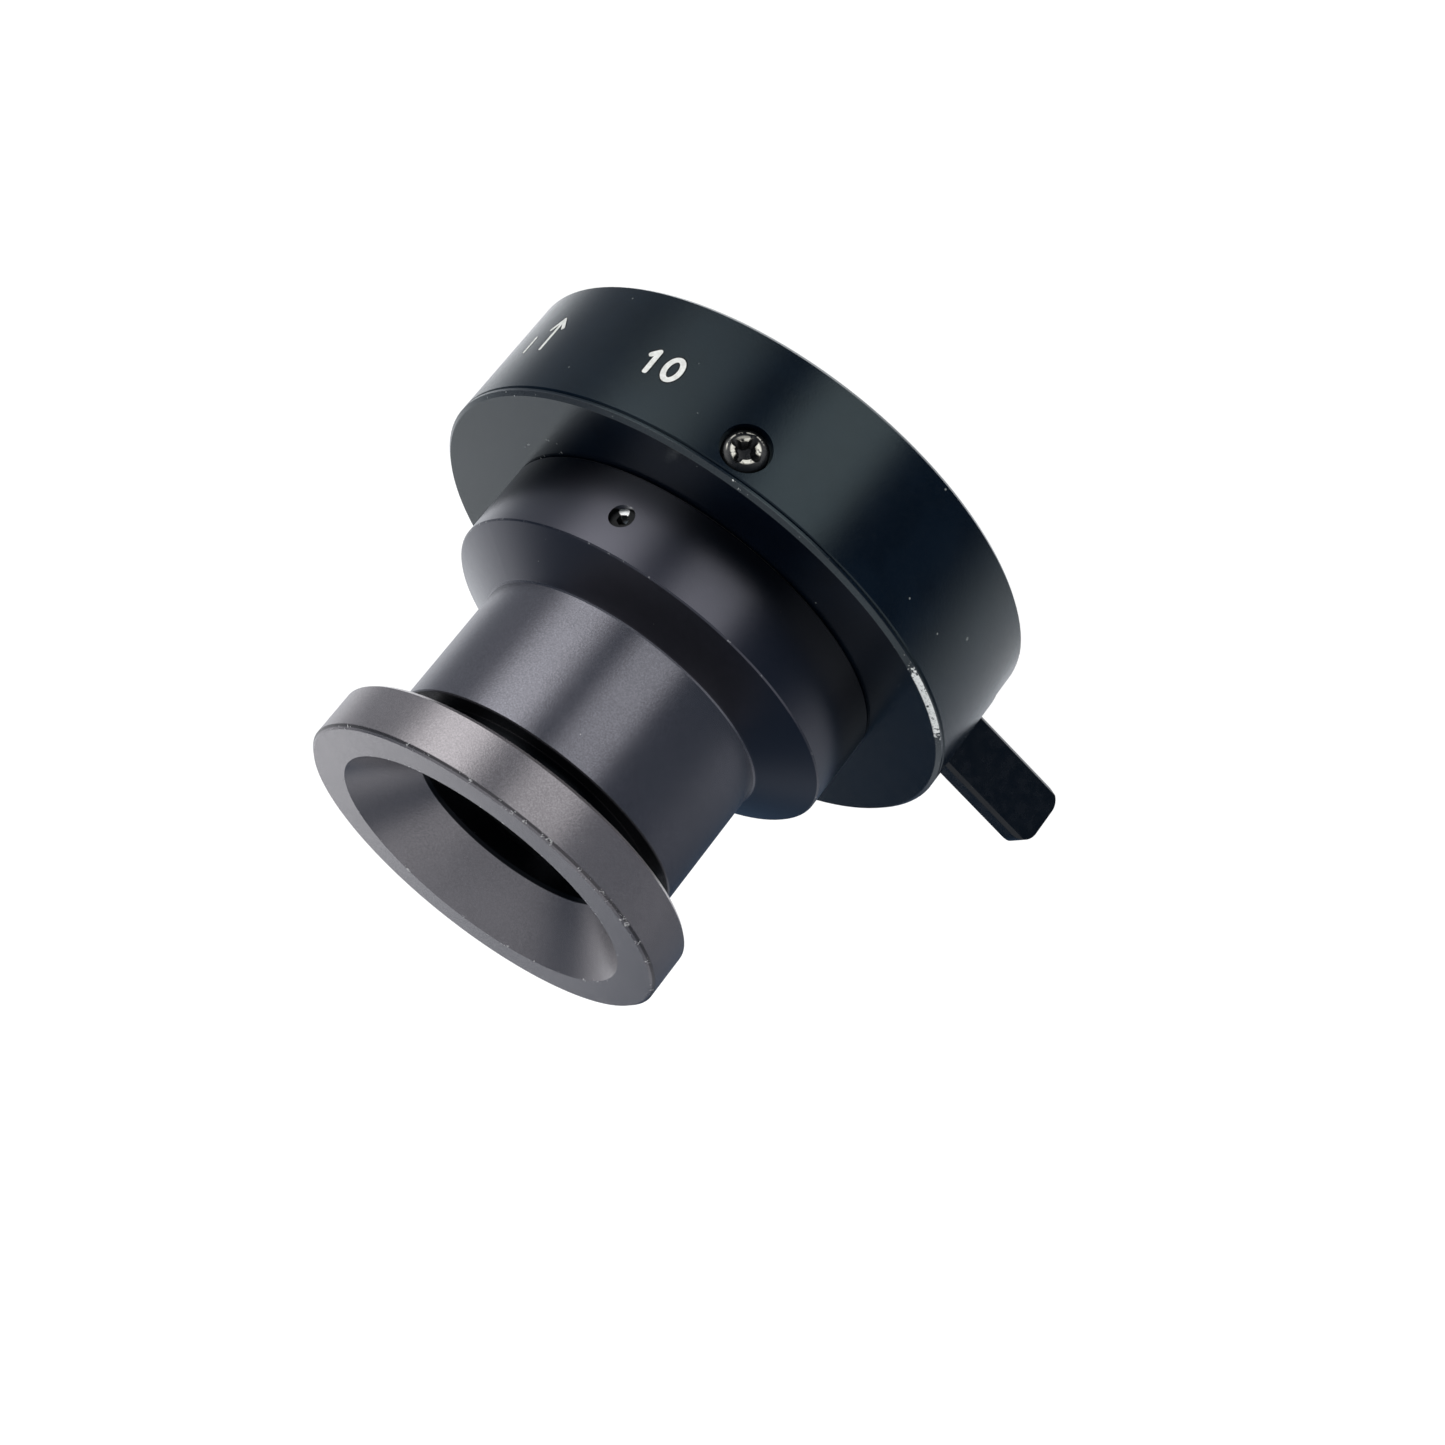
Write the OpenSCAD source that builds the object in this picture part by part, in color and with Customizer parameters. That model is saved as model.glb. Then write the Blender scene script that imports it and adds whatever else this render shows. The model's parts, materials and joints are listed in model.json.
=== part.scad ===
// Clamp-on viewing loupe for rigid optics. A lever drum with three sliding jaws grips an
// ocular flange at the rear, and a cupped eyepiece of the same flange size looks out in front.
// The origin is on the optical axis, in the plane of the drum's rear face. +Z points to the eye.

/* [Eyecup] */
// Diameter of the round ocular flange
flange_d = 32; // [30:0.5:40]
// Thickness of the ocular flange along the axis
flange_t = 4.35; // [3:0.05:6]
// Width of the flat ring on the flange's front face
rim_w = 3.22; // [2:0.02:4]
// Diameter of the sight hole at the bottom of the cup
sight_d = 17.25; // [14:0.05:21]
// Depth of the conical cup
cup_depth = 4.63; // [3:0.01:6]
// Chamfer on the flange's edges
flange_chamfer = 0.3; // [0.1:0.05:0.5]
// Width of the groove between the flange and the neck
groove_w = 2.45; // [1.5:0.05:4]
// Wall of the eyecup's threaded stem
stem_wall = 1.5; // [1.2:0.1:2.5]

/* [Barrel] */
// Wall of the neck around the eyecup's stem
neck_wall = 1.8; // [1.2:0.1:3]
// Length of the neck
neck_len = 11.3; // [10:0.1:20]
// Length of the cone between neck and barrel
step_len = 2.2; // [1.5:0.1:4]
// Length of the wide stretch of the barrel
barrel_len = 6.8; // [6:0.1:12]
// Wall of the barrel around the housing's spigot
barrel_wall = 2.05; // [1.6:0.05:3.5]
// Gap between the barrel and the drum's front face
barrel_gap = 0.1; // [0.05:0.05:0.3]
// Height of the set screws above the drum's front face
set_screw_h = 3.7; // [3:0.1:4.2]
// Thread diameter of the set screws
set_screw_d = 2; // [1.6:0.1:2.4]
// Angle of the first set screw
set_screw_angle = -42.6; // [-60:0.1:60]

/* [Optics] */
// Width of the seat that holds the eye lenses behind the sight hole
lens_seat_w = 0.68; // [0.5:0.01:1]
// Diameter of the field lens
field_lens_d = 23.9; // [19:0.1:29]
// Wall of the spigot around the field lens
spigot_wall = 3; // [2.4:0.1:4]
// Diameter of the rear window
window_d = 24.3; // [20:0.1:30]
// Thickness of the rear window
window_t = 1.5; // [1:0.1:1.8]
// Thickness of the window's seal
seal_t = 0.8; // [0.6:0.05:1]
// Width of the seats that the field lens and the window rest on
field_seat_w = 1.6; // [1:0.1:2.4]

/* [Clamp drum] */
// Radial room for jaws and cam ring between socket and sleeve
clamp_band = 5.9; // [5.6:0.1:9]
// Wall of the outer sleeve
sleeve_wall = 1.5; // [1.3:0.1:2.4]
// Thickness of the drum's front wall
front_wall = 2.2; // [1.8:0.1:4]
// Thickness of the rim at the drum's front
lip_t = 0.65; // [0.5:0.05:1]
// Chamfer on the drum's front edge
drum_chamfer = 0.3; // [0.1:0.05:0.5]
// Thread diameter of the sleeve screws
sleeve_screw_d = 2; // [1.6:0.1:2.5]
// Diameter of the sleeve screws' pan heads
sleeve_head_d = 3.6; // [3:0.1:4.4]
// Angle of the first sleeve screw
sleeve_screw_angle = -61.3; // [-80:0.1:-45]
// Land between the screw heads' counterbores and the sleeve's front edge
sleeve_land = 0.35; // [0.2:0.05:1]

/* [Clamp mechanism] */
// End play of the flange between its seat and the jaws
seat_clear = 0.12; // [0.05:0.01:0.3]
// Clearance around the flange in the socket
socket_clear = 0.1; // [0.05:0.01:0.2]
// Turn of the lever from open to closed, in degrees
lever_turn = 35; // [20:1:42]
// Inward travel of each jaw
jaw_travel = 1.6; // [0.8:0.1:2]
// Width of a jaw
jaw_w = 8; // [6:0.1:10]
// Thickness of a jaw
jaw_t = 2.2; // [1.8:0.1:3]
// Diameter of the jaws' follower pins
pin_d = 1.4; // [1:0.1:1.6]
// Thickness of the cam ring
ring_t = 1.5; // [1.2:0.1:1.6]
// Thickness of the rear cover
cover_t = 1; // [0.9:0.1:1.2]
// Thickness of the thrust washer
washer_t = 0.25; // [0.2:0.05:0.3]
// Diameter of the bosses that carry the rear cover
boss_d = 3; // [2.8:0.1:3.4]
// Thread diameter of the cover screws
cover_screw_d = 1.6; // [1.4:0.1:1.8]
// Running clearance of the sliding parts
run_clear = 0.06; // [0.03:0.01:0.1]
// Clearance between assembled fixed parts
fit_clear = 0.02; // [0.01:0.01:0.05]

/* [Lever] */
// Distance of the lever's tip from the axis
lever_reach = 35.2; // [32:0.1:45]
// Width of the lever along the axis
lever_w = 5.5; // [4:0.1:6]
// Thickness of the lever across its width
lever_t = 2.2; // [2.1:0.1:4]
// Radius of the lever's tip corners
lever_corner = 1.5; // [0.5:0.1:1.8]
// Chamfer along the lever's long edges
lever_chamfer = 0.3; // [0.1:0.05:0.6]
// Diameter of the stud between lever and cam ring
stud_d = 1.2; // [1.1:0.1:1.3]
// Angle that the notch for the lever starts at
notch_start = -143; // [-150:1:-140]
// Angle that the ring's filler extends past the lever
filler_past = 10; // [8:1:14]

/* [Hidden] */
$fn = 120;
eps = 0.05;
small_fn = 48;
lens_fn = 320;
fine_chamfer = 0.12;
part_gap = 0.1;
screw_count = 3;
screw_step = 360 / screw_count;

// Places along the axis, counted from the drum's rear face
z_washer = cover_t;
z_ring = z_washer + washer_t + run_clear;
z_ring_top = z_ring + ring_t;
z_housing = z_ring_top + part_gap;
z_channel = z_housing + jaw_t + 2 * run_clear;
z_seat = z_channel + flange_t + seat_clear;
drum_len = z_seat + front_wall;
z_lip = drum_len - lip_t;
z_barrel = drum_len + barrel_gap;
z_step = z_barrel + barrel_len;
z_neck = z_step + step_len;
z_neck_top = z_neck + neck_len;
z_flange = z_neck_top + groove_w;
z_front = z_flange + flange_t;
z_set_screw = drum_len + set_screw_h;

// Radii of the eyecup and the barrel
baffle_step = 0.6;
flange_r = flange_d / 2;
mouth_r = flange_r - rim_w;
sight_r = sight_d / 2;
cell_r = sight_r + lens_seat_w;
stem_r = cell_r + stem_wall;
neck_bore_r = stem_r + fit_clear;
neck_r = neck_bore_r + neck_wall;
baffle_r = cell_r + baffle_step;
light_bore_r = baffle_r + fit_clear;

// Radii of the spigot, the field lens and the window
field_cell_r = field_lens_d / 2 + fit_clear;
field_stop_r = min(field_lens_d, window_d) / 2 - field_seat_w;
window_cell_r = window_d / 2 + fit_clear;
spigot_r = field_cell_r + spigot_wall;
barrel_bore_r = spigot_r + fit_clear;
barrel_r = barrel_bore_r + barrel_wall;

// Places of the field lens, the window and the spigot
field_edge = 1.2;
field_bulge = 1.6;
window_ring_t = 0.65;
stop_t = 0.9;
spigot_len = 5.6;
bore_relief = 0.5;
z_window_ring = z_seat + eps;
z_seal = z_window_ring + window_ring_t;
z_window = z_seal + seal_t;
z_window_seat = z_window + window_t;
z_field_seat = z_window_seat + stop_t;
z_spigot_top = z_barrel + spigot_len;
z_bore_top = z_spigot_top + bore_relief;

// Places inside the eyecup's stem, from the sight hole inwards
sight_wall = 1.47;
stem_end = 0.8;
eye_edge = 1.2;
eye_bulge = 1.2;
spacer_len = 2.5;
crown_edge = 1;
crown_front_bulge = 1;
crown_rear_bulge = 0.8;
flint_t = 2.2;
cement_gap = 0.03;
retainer_t = 1;
retainer_w = 1.3;
spanner_w = 1;
seat_relief = 0.4;
z_cup_floor = z_front - cup_depth;
z_eye_top = z_cup_floor - sight_wall;
z_eye = z_eye_top - eye_edge;
z_crown_top = z_eye - spacer_len;
z_crown = z_crown_top - crown_edge;
z_flint = z_crown - flint_t;
z_retainer = z_flint - part_gap / 2 - retainer_t;
z_stem = z_retainer - stem_end;
z_stem_stop = z_stem - fit_clear;

// Radii of the drum, from the socket outwards
jaw_recess = 0.3;
jaw_back_gap = 0.4;
ring_lip_w = 1.22;
cover_gap = 0.2;
slot_wall = 0.12;
boss_offset = 0.4;
filler_sink = 0.1;
socket_r = flange_r + socket_clear;
open_r = socket_r + jaw_recess;
bore_r = socket_r + clamp_band;
drum_r = bore_r + sleeve_wall;
housing_r = bore_r - fit_clear;
ring_r = bore_r - run_clear - fit_clear;
lip_in_r = ring_r - ring_lip_w;
cover_r = lip_in_r - cover_gap;
jaw_out_r = bore_r - jaw_back_gap;
pin_r = lip_in_r - slot_wall - run_clear - pin_d / 2;
boss_r = (socket_r + cover_r) / 2 + boss_offset;
filler_r = drum_r - filler_sink;

// The jaws sit halfway between the sleeve screws, and the bosses between the jaws
jaw_angle = sleeve_screw_angle + screw_step / 2;
boss_angle = jaw_angle + screw_step / 2;
lever_angle = 181.9;
notch_gap = 0.3;
lever_gap = 0.25;
notch_z = z_ring_top + 0.2;
filler_start = notch_start - notch_gap;
filler_sweep = filler_start + lever_angle + filler_past;
notch_sweep = filler_sweep + lever_turn + 2 * notch_gap;
rear_lift = 0.1;

// Screws, their recesses and their holes
screw_clear = 0.04;
recess_share = 0.6;
cover_head_d = 2.9;
cover_head_h = 0.75;
cover_recess_w = 0.45;
cover_recess_depth = 0.4;
cover_hole_depth = z_channel - cover_t;
head_sink = 0.05;
head_seat = 1;
head_h = 0.8;
head_dome_h = 0.3;
head_clear = 0.2;
sleeve_recess_w = 0.6;
sleeve_recess_depth = 0.5;
sleeve_shank_len = 3.2;
screw_tip_gap = 0.3;
sleeve_tip_r = drum_r - head_seat - sleeve_shank_len;
z_sleeve_screw = z_lip - sleeve_land - sleeve_head_d / 2 - head_clear;
set_screw_sink = 0.5;
set_screw_hex_depth = 0.9;

// Seal on the eyecup's stem
seal_groove_depth = 0.7;
seal_groove_w = 1;
z_stem_seal = z_neck_top - 2.5;

// Joint between the lever and the cam ring
z_stud = (rear_lift + z_ring_top) / 2;
tongue_t = 2;
tongue_w = 1.9;
tongue_depth = 0.4;
lever_foot_r = drum_r + lever_gap;
stud_grip = 2.6;
pin_grip = 1.5;

module at_angle(angle, r, z) {
    rotate([0, 0, angle]) translate([r, 0, z]) children();
}

module outward(angle, r, z) {
    at_angle(angle, r, z) rotate([0, 90, 0]) children();
}

module around(first_angle) {
    for (i = [0 : screw_count - 1]) rotate([0, 0, first_angle + i * screw_step]) children();
}

module ring(r_in, r_out, z0, z1) {
    rotate_extrude() translate([r_in, z0]) square([r_out - r_in, z1 - z0]);
}

module ring_sector(r_in, r_out, z0, z1, sweep) {
    rotate_extrude(angle = sweep) translate([r_in, z0]) square([r_out - r_in, z1 - z0]);
}

module cross_recess(span, width, depth) {
    for (turn = [0, 90]) rotate([0, 0, turn])
        translate([-span / 2, -width / 2, -depth]) cube([span, width, depth + eps]);
    translate([0, 0, -depth]) cylinder(r = width * 0.8, h = depth + eps, $fn = small_fn);
}

// A spanner ring: an annulus with two slots across its rear face
module spanner_ring(r_in, r_out, z0, z1) {
    slot_depth = (z1 - z0) / 2;
    difference() {
        ring(r_in, r_out, z0, z1);
        translate([-spanner_w / 2, -r_out - eps, z0 - eps])
            cube([spanner_w, 2 * r_out + 2 * eps, slot_depth + eps]);
    }
}

function dome_radius(r, bulge) = (r * r + bulge * bulge) / (2 * bulge);

module eyecup() {
    color([0.36, 0.32, 0.34]) difference() {
        rotate_extrude() polygon([
            [cell_r, z_stem], [stem_r - fine_chamfer, z_stem], [stem_r, z_stem + fine_chamfer],
            [stem_r, z_flange], [flange_r - flange_chamfer, z_flange],
            [flange_r, z_flange + flange_chamfer], [flange_r, z_front - flange_chamfer],
            [flange_r - flange_chamfer, z_front], [mouth_r, z_front], [sight_r, z_cup_floor],
            [sight_r, z_eye_top], [cell_r, z_eye_top]
        ]);
        stem_seal_groove();
    }
}

module stem_seal_groove() {
    ring(stem_r - seal_groove_depth, stem_r + eps, z_stem_seal, z_stem_seal + seal_groove_w);
}

module stem_seal() {
    seal_half = seal_groove_depth / 2 - fit_clear / 2;
    color([0.05, 0.05, 0.05]) rotate_extrude()
        translate([stem_r - seal_groove_depth / 2, z_stem_seal + seal_groove_w / 2])
            circle(r = seal_half, $fn = small_fn);
}

module barrel() {
    color([0.33, 0.29, 0.32]) difference() {
        rotate_extrude() polygon([
            [barrel_bore_r, z_barrel], [barrel_r - fine_chamfer, z_barrel],
            [barrel_r, z_barrel + fine_chamfer], [barrel_r, z_step - fine_chamfer],
            [barrel_r - fine_chamfer, z_step], [neck_r + fine_chamfer, z_neck],
            [neck_r, z_neck + fine_chamfer], [neck_r, z_neck_top - fine_chamfer],
            [neck_r - fine_chamfer, z_neck_top], [neck_bore_r, z_neck_top],
            [neck_bore_r, z_stem_stop], [light_bore_r, z_stem_stop],
            [light_bore_r, z_bore_top], [barrel_bore_r, z_bore_top]
        ]);
        around(set_screw_angle) translate([spigot_r - 1, 0, z_set_screw]) rotate([0, 90, 0])
            cylinder(d = set_screw_d + 2 * fit_clear, h = barrel_wall + 2, $fn = small_fn);
    }
}

module set_screws() {
    point_r = 0.1;
    point_base_r = 0.5;
    tip_r = spigot_r - 0.4;
    shoulder_r = barrel_bore_r + part_gap;
    top_r = barrel_r - set_screw_sink;
    color([0.1, 0.1, 0.11]) around(set_screw_angle) translate([0, 0, z_set_screw]) rotate([0, 90, 0])
        difference() {
            union() {
                translate([0, 0, tip_r])
                    cylinder(r1 = point_r, r2 = point_base_r, h = shoulder_r - tip_r, $fn = small_fn);
                translate([0, 0, shoulder_r])
                    cylinder(d = set_screw_d, h = top_r - shoulder_r, $fn = small_fn);
            }
            translate([0, 0, top_r - set_screw_hex_depth])
                cylinder(d = set_screw_d / 2, h = set_screw_hex_depth + eps, $fn = 6);
        }
}

module eye_lens() {
    r = cell_r - fit_clear;
    dome = dome_radius(r, eye_bulge);
    color([0.6, 0.75, 0.8, 0.4]) intersection() {
        translate([0, 0, z_eye - eye_bulge]) cylinder(r = r, h = eye_bulge + eye_edge);
        translate([0, 0, z_eye - eye_bulge + dome]) sphere(r = dome, $fn = lens_fn);
    }
}

module lens_spacer() {
    r_in = cell_r - lens_seat_w;
    r_out = cell_r - fit_clear;
    color([0.08, 0.08, 0.08]) rotate_extrude() polygon([
        [r_in, z_crown_top + seat_relief], [r_out, z_crown_top], [r_out, z_eye],
        [r_in, z_eye - seat_relief]
    ]);
}

module crown_lens() {
    r = cell_r - fit_clear;
    front_dome = dome_radius(r, crown_front_bulge);
    rear_dome = dome_radius(r, crown_rear_bulge);
    color([0.6, 0.75, 0.8, 0.4]) intersection() {
        translate([0, 0, z_crown - crown_rear_bulge])
            cylinder(r = r, h = crown_edge + crown_front_bulge + crown_rear_bulge);
        translate([0, 0, z_crown_top + crown_front_bulge - front_dome])
            sphere(r = front_dome, $fn = lens_fn);
        translate([0, 0, z_crown - crown_rear_bulge + rear_dome])
            sphere(r = rear_dome, $fn = lens_fn);
    }
}

module flint_lens() {
    r = cell_r - fit_clear;
    dome = dome_radius(r, crown_rear_bulge);
    color([0.65, 0.72, 0.8, 0.4]) difference() {
        translate([0, 0, z_flint]) cylinder(r = r, h = z_crown - z_flint - cement_gap);
        translate([0, 0, z_crown - crown_rear_bulge + dome]) sphere(r = dome + cement_gap, $fn = lens_fn);
    }
}

module lens_retainer() {
    color([0.08, 0.08, 0.08])
        spanner_ring(cell_r - retainer_w, cell_r - fit_clear, z_retainer, z_retainer + retainer_t);
}

module light_baffle() {
    tooth = 0.5;
    tooth_count = 4;
    z0 = z_bore_top + part_gap;
    pitch = (z_stem_stop - part_gap - z0) / tooth_count;
    color([0.04, 0.04, 0.04]) rotate_extrude() union() {
        translate([baffle_r - tooth, z0]) square([tooth, tooth_count * pitch]);
        for (i = [0 : tooth_count - 1]) translate([baffle_r - 2 * tooth, z0 + i * pitch])
            polygon([[0, 0], [tooth + eps, 0], [tooth + eps, pitch / 2]]);
    }
}

module clamp_housing() {
    groove_depth = 0.5;
    groove_half = 0.6;
    color([0.1, 0.11, 0.13]) difference() {
        union() {
            rotate_extrude() polygon([
                [socket_r, z_housing], [housing_r, z_housing], [housing_r, z_lip],
                [drum_r - fine_chamfer, z_lip], [drum_r, z_lip + fine_chamfer],
                [drum_r, drum_len - drum_chamfer], [drum_r - drum_chamfer, drum_len],
                [spigot_r, drum_len], [spigot_r, z_set_screw - groove_half],
                [spigot_r - groove_depth, z_set_screw], [spigot_r, z_set_screw + groove_half],
                [spigot_r, z_spigot_top - fine_chamfer], [spigot_r - fine_chamfer, z_spigot_top],
                [field_cell_r, z_spigot_top], [field_cell_r, z_field_seat],
                [field_stop_r, z_field_seat], [field_stop_r, z_window_seat],
                [window_cell_r, z_window_seat], [window_cell_r, z_seat], [socket_r, z_seat]
            ]);
            around(boss_angle) translate([boss_r, 0, cover_t])
                cylinder(d = boss_d, h = z_housing - cover_t + eps, $fn = small_fn);
        }
        around(jaw_angle) translate([socket_r - 1, -jaw_w / 2 - run_clear, z_housing - eps])
            cube([clamp_band + 2, jaw_w + 2 * run_clear, z_channel - z_housing + eps]);
        around(boss_angle) translate([boss_r, 0, cover_t - eps])
            cylinder(d = cover_screw_d + 2 * fit_clear, h = cover_hole_depth + eps, $fn = small_fn);
        around(sleeve_screw_angle) translate([0, 0, z_sleeve_screw]) rotate([0, 90, 0])
            translate([0, 0, sleeve_tip_r - screw_tip_gap])
                cylinder(d = sleeve_screw_d + 2 * fit_clear, h = bore_r - sleeve_tip_r + 1, $fn = small_fn);
    }
}

module drum_sleeve() {
    color([0.09, 0.1, 0.13]) difference() {
        rotate_extrude() polygon([
            [bore_r, 0], [drum_r - drum_chamfer, 0], [drum_r, drum_chamfer],
            [drum_r, z_lip - fit_clear - fine_chamfer],
            [drum_r - fine_chamfer, z_lip - fit_clear], [bore_r, z_lip - fit_clear]
        ]);
        rotate([0, 0, notch_start - notch_sweep])
            ring_sector(bore_r - eps, drum_r + eps, -eps, notch_z, notch_sweep);
        around(sleeve_screw_angle) translate([0, 0, z_sleeve_screw]) rotate([0, 90, 0]) {
            translate([0, 0, drum_r - head_seat])
                cylinder(d = sleeve_head_d + 2 * head_clear, h = head_seat + eps, $fn = small_fn);
            translate([0, 0, bore_r - eps])
                cylinder(d = sleeve_screw_d + 2 * part_gap, h = sleeve_wall, $fn = small_fn);
        }
    }
}

module sleeve_screws() {
    seat_r = drum_r - head_seat;
    color([0.12, 0.12, 0.13]) around(sleeve_screw_angle) translate([0, 0, z_sleeve_screw])
        rotate([0, 90, 0]) difference() {
            union() {
                translate([0, 0, sleeve_tip_r])
                    cylinder(d = sleeve_screw_d, h = sleeve_shank_len + eps, $fn = small_fn);
                translate([0, 0, seat_r])
                    cylinder(d = sleeve_head_d, h = head_h - head_dome_h, $fn = small_fn);
                translate([0, 0, seat_r + head_h - head_dome_h])
                    cylinder(d1 = sleeve_head_d, d2 = sleeve_head_d - 2 * head_dome_h,
                             h = head_dome_h, $fn = small_fn);
            }
            translate([0, 0, seat_r + head_h])
                cross_recess(sleeve_head_d * recess_share, sleeve_recess_w, sleeve_recess_depth);
        }
}

module rear_cover() {
    hole_d = cover_screw_d + 2 * screw_clear;
    sink_d = cover_head_d + 2 * screw_clear;
    color([0.1, 0.11, 0.12]) difference() {
        rotate_extrude() polygon([
            [socket_r, 0], [cover_r - fine_chamfer, 0], [cover_r, fine_chamfer],
            [cover_r, cover_t], [socket_r, cover_t]
        ]);
        around(boss_angle) translate([boss_r, 0, 0]) {
            translate([0, 0, -eps]) cylinder(d = hole_d, h = cover_t + 2 * eps, $fn = small_fn);
            translate([0, 0, -eps]) cylinder(d = sink_d, h = head_sink + eps, $fn = small_fn);
            translate([0, 0, head_sink])
                cylinder(d1 = sink_d, d2 = hole_d, h = cover_head_h, $fn = small_fn);
        }
    }
}

module cover_screws() {
    color([0.12, 0.12, 0.13]) around(boss_angle) translate([boss_r, 0, head_sink]) difference() {
        union() {
            cylinder(d1 = cover_head_d, d2 = cover_screw_d, h = cover_head_h, $fn = small_fn);
            cylinder(d = cover_screw_d, h = z_channel - screw_tip_gap, $fn = small_fn);
        }
        rotate([180, 0, 0]) cross_recess(cover_head_d * recess_share, cover_recess_w, cover_recess_depth);
    }
}

module thrust_washer() {
    color([0.72, 0.55, 0.3]) difference() {
        ring(open_r, cover_r, z_washer, z_washer + washer_t);
        around(boss_angle) translate([boss_r, 0, z_washer - eps])
            cylinder(d = boss_d + 2 * part_gap, h = washer_t + 2 * eps, $fn = small_fn);
    }
}

module field_lens() {
    r = field_lens_d / 2;
    dome = dome_radius(r, field_bulge);
    color([0.6, 0.75, 0.8, 0.4]) intersection() {
        translate([0, 0, z_field_seat]) cylinder(r = r, h = field_edge + field_bulge);
        translate([0, 0, z_field_seat + field_edge + field_bulge - dome]) sphere(r = dome, $fn = lens_fn);
    }
}

module field_lens_retainer() {
    r_out = field_lens_d / 2;
    r_in = r_out - retainer_w;
    z0 = z_field_seat + field_edge + part_gap / 2;
    color([0.08, 0.08, 0.08]) difference() {
        rotate_extrude() polygon([
            [r_in, z0 + seat_relief], [r_out, z0], [r_out, z0 + retainer_t],
            [r_in, z0 + retainer_t]
        ]);
        translate([-spanner_w / 2, -r_out - eps, z0 + retainer_t / 2])
            cube([spanner_w, 2 * r_out + 2 * eps, retainer_t]);
    }
}

module window() {
    color([0.6, 0.75, 0.8, 0.4]) translate([0, 0, z_window]) cylinder(d = window_d, h = window_t);
}

module window_seal() {
    color([0.05, 0.05, 0.05]) rotate_extrude()
        translate([window_d / 2 - seal_t / 2, z_seal + seal_t / 2]) circle(d = seal_t, $fn = small_fn);
}

module window_retainer() {
    color([0.08, 0.08, 0.08])
        spanner_ring(field_stop_r, window_d / 2, z_window_ring, z_seal);
}

// A slot through the cam ring. Its middle line starts at radius r0 on the +X side and reaches r1
// after the lever's full turn; it's half wide on either side and has round ends.
module turn_slot(r0, r1, half) {
    steps = 24;
    cap_steps = 12;
    function mid_r(turn) = r0 + (r1 - r0) * turn / lever_turn;
    function on_radius(r, turn) = [r * cos(turn), r * sin(turn)];
    function side(sign) = [for (i = [0 : steps])
        let (turn = lever_turn * i / steps) on_radius(mid_r(turn) + sign * half, turn)];
    function cap(turn, first) = [for (i = [1 : cap_steps - 1])
        on_radius(mid_r(turn), turn) + on_radius(half, turn + first + 180 * i / cap_steps)];
    outer = side(1);
    inner = [for (i = [steps : -1 : 0]) side(-1)[i]];
    translate([0, 0, z_ring - eps]) linear_extrude(ring_t + 2 * eps)
        polygon(concat(outer, cap(lever_turn, 0), inner, cap(0, 180)));
}

module cam_ring() {
    color([0.16, 0.17, 0.19]) difference() {
        union() {
            rotate_extrude() polygon([
                [open_r, z_ring], [lip_in_r, z_ring], [lip_in_r, rear_lift], [ring_r, rear_lift],
                [ring_r, z_ring_top], [open_r, z_ring_top]
            ]);
            rotate([0, 0, filler_start - filler_sweep])
                ring_sector(ring_r - 0.5, filler_r, rear_lift, z_ring_top, filler_sweep);
        }
        around(jaw_angle) turn_slot(pin_r, pin_r - jaw_travel, pin_d / 2 + run_clear);
        around(boss_angle) turn_slot(boss_r, boss_r, boss_d / 2 + part_gap);
        at_angle(lever_angle, filler_r - tongue_depth - fit_clear, z_stud)
            translate([0, -tongue_t / 2 - fit_clear, -tongue_w / 2 - fit_clear])
                cube([tongue_depth + 1, tongue_t + 2 * fit_clear, tongue_w + 2 * fit_clear]);
        outward(lever_angle, lip_in_r - eps, z_stud)
            cylinder(d = stud_d + 2 * fit_clear, h = drum_r - lip_in_r, $fn = small_fn);
    }
}

// Outline of the lever, in the plane that holds the axis: along x outwards, along y forwards
module lever_outline() {
    straight = lever_reach - lever_corner;
    translate([lever_foot_r, 0]) square([straight - lever_foot_r, lever_w]);
    translate([straight, lever_corner]) square([lever_corner, lever_w - 2 * lever_corner]);
    for (y = [lever_corner, lever_w - lever_corner])
        translate([straight, y]) circle(r = lever_corner, $fn = small_fn);
}

// Cross-section of the lever's blade with its four long edges chamfered
module lever_section() {
    half = lever_t / 2;
    c = lever_chamfer;
    polygon([
        [-half + c, 0], [half - c, 0], [half, c], [half, lever_w - c],
        [half - c, lever_w], [-half + c, lever_w], [-half, lever_w - c], [-half, c]
    ]);
}

module clamp_lever() {
    color([0.05, 0.05, 0.06]) difference() {
        union() {
            rotate([0, 0, lever_angle]) translate([0, 0, rear_lift]) intersection() {
                translate([0, lever_t / 2, 0]) rotate([90, 0, 0]) linear_extrude(lever_t) lever_outline();
                rotate([90, 0, 90]) linear_extrude(lever_reach + 1) lever_section();
            }
            at_angle(lever_angle, filler_r - tongue_depth, z_stud)
                translate([0, -tongue_t / 2, -tongue_w / 2])
                    cube([lever_foot_r - filler_r + tongue_depth + eps, tongue_t, tongue_w]);
        }
        outward(lever_angle, drum_r - 1, z_stud)
            cylinder(d = stud_d + 2 * fit_clear, h = 1 + lever_foot_r - drum_r + stud_grip, $fn = small_fn);
    }
}

module lever_stud() {
    stud_start = lip_in_r + part_gap;
    color([0.6, 0.6, 0.62]) outward(lever_angle, stud_start, z_stud)
        cylinder(d = stud_d, h = lever_foot_r + stud_grip - 2 * part_gap - stud_start, $fn = small_fn);
}

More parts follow.
